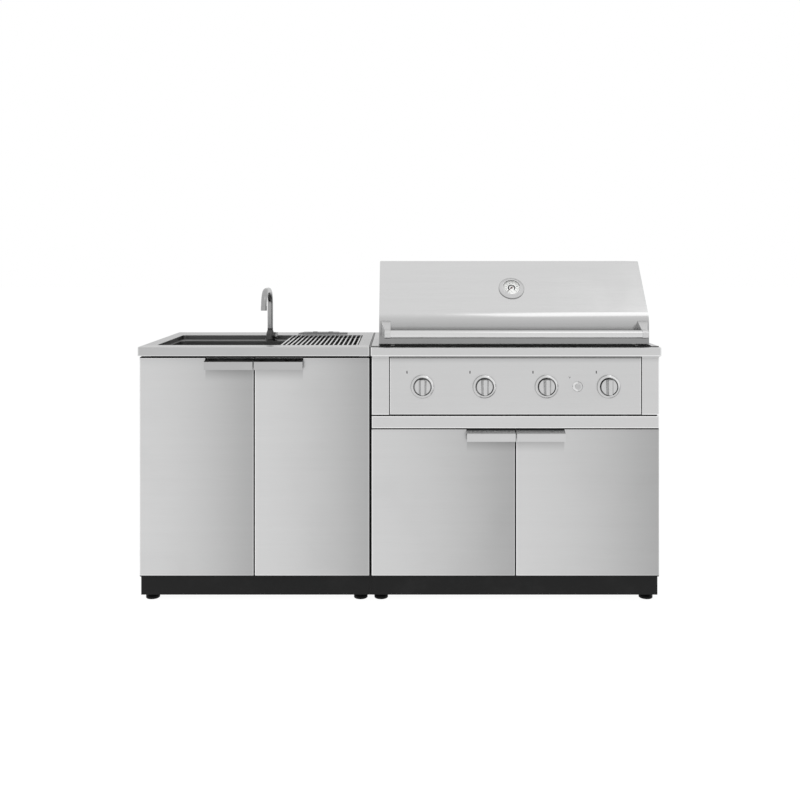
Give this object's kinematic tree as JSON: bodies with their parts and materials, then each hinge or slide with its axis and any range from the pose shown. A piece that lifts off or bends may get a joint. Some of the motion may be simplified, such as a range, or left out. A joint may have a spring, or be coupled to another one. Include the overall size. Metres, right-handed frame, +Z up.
{
  "type": "outdoor kitchen island",
  "caption": "Two joined stainless cabinets: one with a sink, tap and drying rack, one with a drop-in gas grill under a hinged lid.",
  "frame": {"origin": "centre of the plan of the whole island, on the floor", "axes": "+X to the right seen from the front, along the width; +Y from front to back; +Z up"},
  "size_m": [1.84, 0.627, 1.207],
  "materials": {
    "counter_steel": "brushed stainless steel, grain along the width",
    "door_steel": "brushed stainless steel, grain along the width",
    "body_steel": "satin stainless sheet",
    "bowl_steel": "satin pressed stainless steel",
    "lid_steel": "brushed stainless steel",
    "polished_steel": "polished",
    "kick_black": "satin black powder coat",
    "zinc_steel": "zinc plated",
    "grate_steel": "drawn stainless rod",
    "brass": "turned brass",
    "dark_plastic": "matt moulded",
    "black_rubber": "matt",
    "gauge_glass": "clear",
    "needle_red": "satin"
  },
  "bodies": {
    "island": {"side_panels": "body_steel", "plinth_rails": "body_steel", "levelling_feet": "dark_plastic", "back_panels": "body_steel", "floor_panels": "body_steel", "kick_plates": "kick_black", "sink_top_rails": "body_steel", "hinge_brackets": "zinc_steel", "door_catches": "dark_plastic", "sink_countertop": "counter_steel", "grill_countertop": "counter_steel", "grill_front_trim": "counter_steel", "sink_basin": "bowl_steel", "drain_body": "bowl_steel", "tap_base": "polished_steel", "rear_plate": "dark_plastic", "face_frame": "door_steel", "control_panel": "door_steel", "panel_bezels": "polished_steel", "gas_valves": "brass", "gas_manifold": "zinc_steel", "unit_links": "zinc_steel", "firebox_walls": "body_steel", "firebox_hopper": "body_steel", "burners": "body_steel", "flame_tamers": "body_steel", "lid_bumpers": "black_rubber"},
    "sink_left_door": {"sink_left_door": "door_steel", "sink_left_pull": "door_steel"},
    "sink_right_door": {"sink_right_door": "door_steel", "sink_right_pull": "door_steel"},
    "grill_left_door": {"grill_left_door": "door_steel", "grill_left_pull": "door_steel"},
    "grill_right_door": {"grill_right_door": "door_steel", "grill_right_pull": "door_steel"},
    "lid": {"lid_shell": "lid_steel", "lid_liner": "lid_steel", "handle_brackets": "lid_steel", "lid_handle": "lid_steel", "gauge_case": "polished_steel", "gauge_lens": "gauge_glass"},
    "gauge_needle": {"gauge_needle": "needle_red"},
    "tap_spout": {"tap_spout": "polished_steel"},
    "tap_lever": {"tap_lever": "polished_steel"},
    "drying_rack": {"drying_rack": "grate_steel"},
    "drain_basket": {"drain_basket": "bowl_steel"},
    "grease_tray": {"grease_tray": "body_steel"},
    "warming_rack": {"warming_rack": "grate_steel"},
    "igniter_button": {"igniter_button": "polished_steel"},
    "cooking_grate_1": {"cooking_grate_1": "grate_steel"},
    "cooking_grate_2": {"cooking_grate_2": "grate_steel"},
    "cooking_grate_3": {"cooking_grate_3": "grate_steel"},
    "valve_stem_1": {"valve_stem_1": "zinc_steel"},
    "knob_1": {"knob_1": "polished_steel"},
    "valve_stem_2": {"valve_stem_2": "zinc_steel"},
    "knob_2": {"knob_2": "polished_steel"},
    "valve_stem_3": {"valve_stem_3": "zinc_steel"},
    "knob_3": {"knob_3": "polished_steel"},
    "valve_stem_4": {"valve_stem_4": "zinc_steel"},
    "knob_4": {"knob_4": "polished_steel"}
  },
  "joints": [
    {"name": "sink_left_door_hinge", "type": "hinge", "parent": "island", "child": "sink_left_door", "pos_m": [-0.9131, -0.2715, 0.098], "axis": [0, 0, -1], "range_deg": [0, 105]},
    {"name": "sink_right_door_hinge", "type": "hinge", "parent": "island", "child": "sink_right_door", "pos_m": [-0.1141, -0.2715, 0.098], "axis": [0, 0, 1], "range_deg": [0, 90]},
    {"name": "grill_left_door_hinge", "type": "hinge", "parent": "island", "child": "grill_left_door", "pos_m": [-0.0918, -0.2715, 0.098], "axis": [0, 0, -1], "range_deg": [0, 85]},
    {"name": "grill_right_door_hinge", "type": "hinge", "parent": "island", "child": "grill_right_door", "pos_m": [0.9112, -0.2715, 0.098], "axis": [0, 0, 1], "range_deg": [0, 105]},
    {"name": "lid_hinge", "type": "hinge", "parent": "island", "child": "lid", "pos_m": [0.4097, 0.2255, 0.935], "axis": [-1, 0, 0], "range_deg": [0, 85]},
    {"name": "gauge_needle_turn", "type": "hinge", "parent": "lid", "child": "gauge_needle", "pos_m": [0.4097, -0.15671, 1.10785], "axis": [0, 0.7851, -0.6193], "range_deg": [0, 270], "stiffness_Nm_per_rad": 0.001},
    {"name": "valve_stem_1_turn", "type": "hinge", "parent": "island", "child": "valve_stem_1", "pos_m": [0.08075, -0.2775, 0.7662], "axis": [0, -1, 0], "range_deg": [0, 240]},
    {"name": "knob_1_push", "type": "slide", "parent": "valve_stem_1", "child": "knob_1", "axis": [0, 1, 0], "range_m": [0, 0.003], "stiffness_N_per_m": 1500, "springref_m": -0.002},
    {"name": "valve_stem_2_turn", "type": "hinge", "parent": "island", "child": "valve_stem_2", "pos_m": [0.30005, -0.2775, 0.7662], "axis": [0, -1, 0], "range_deg": [0, 240]},
    {"name": "knob_2_push", "type": "slide", "parent": "valve_stem_2", "child": "knob_2", "axis": [0, 1, 0], "range_m": [0, 0.003], "stiffness_N_per_m": 1500, "springref_m": -0.002},
    {"name": "valve_stem_3_turn", "type": "hinge", "parent": "island", "child": "valve_stem_3", "pos_m": [0.51935, -0.2775, 0.7662], "axis": [0, -1, 0], "range_deg": [0, 240]},
    {"name": "knob_3_push", "type": "slide", "parent": "valve_stem_3", "child": "knob_3", "axis": [0, 1, 0], "range_m": [0, 0.003], "stiffness_N_per_m": 1500, "springref_m": -0.002},
    {"name": "valve_stem_4_turn", "type": "hinge", "parent": "island", "child": "valve_stem_4", "pos_m": [0.73865, -0.2775, 0.7662], "axis": [0, -1, 0], "range_deg": [0, 240]},
    {"name": "knob_4_push", "type": "slide", "parent": "valve_stem_4", "child": "knob_4", "axis": [0, 1, 0], "range_m": [0, 0.003], "stiffness_N_per_m": 1500, "springref_m": -0.002},
    {"name": "igniter_push", "type": "slide", "parent": "island", "child": "igniter_button", "axis": [0, 1, 0], "range_m": [0, 0.004], "stiffness_N_per_m": 1000, "springref_m": -0.002},
    {"name": "spout_swivel", "type": "hinge", "parent": "island", "child": "tap_spout", "pos_m": [-0.5136, 0.1285, 0.9403], "axis": [0, 0, 1], "range_deg": [-90, 90]},
    {"name": "tap_lever_turn", "type": "hinge", "parent": "island", "child": "tap_lever", "pos_m": [-0.4916, 0.1285, 0.9116], "axis": [-1, 0, 0], "range_deg": [0, 90]},
    {"name": "drying_rack_lift", "type": "slide", "parent": "island", "child": "drying_rack", "axis": [0, 0, 1], "range_m": [0, 0.06]},
    {"name": "drain_basket_lift", "type": "slide", "parent": "island", "child": "drain_basket", "axis": [0, 0, 1], "range_m": [0, 0.05]},
    {"name": "cooking_grate_1_lift", "type": "slide", "parent": "island", "child": "cooking_grate_1", "axis": [0, 0, 1], "range_m": [0, 0.03]},
    {"name": "cooking_grate_2_lift", "type": "slide", "parent": "island", "child": "cooking_grate_2", "axis": [0, 0, 1], "range_m": [0, 0.03]},
    {"name": "cooking_grate_3_lift", "type": "slide", "parent": "island", "child": "cooking_grate_3", "axis": [0, 0, 1], "range_m": [0, 0.03]},
    {"name": "warming_rack_lift", "type": "slide", "parent": "island", "child": "warming_rack", "axis": [0, 0, 1], "range_m": [0, 0.05]},
    {"name": "grease_tray_slide", "type": "slide", "parent": "island", "child": "grease_tray", "axis": [0, -1, 0], "range_m": [0, 0.1]}
  ]
}
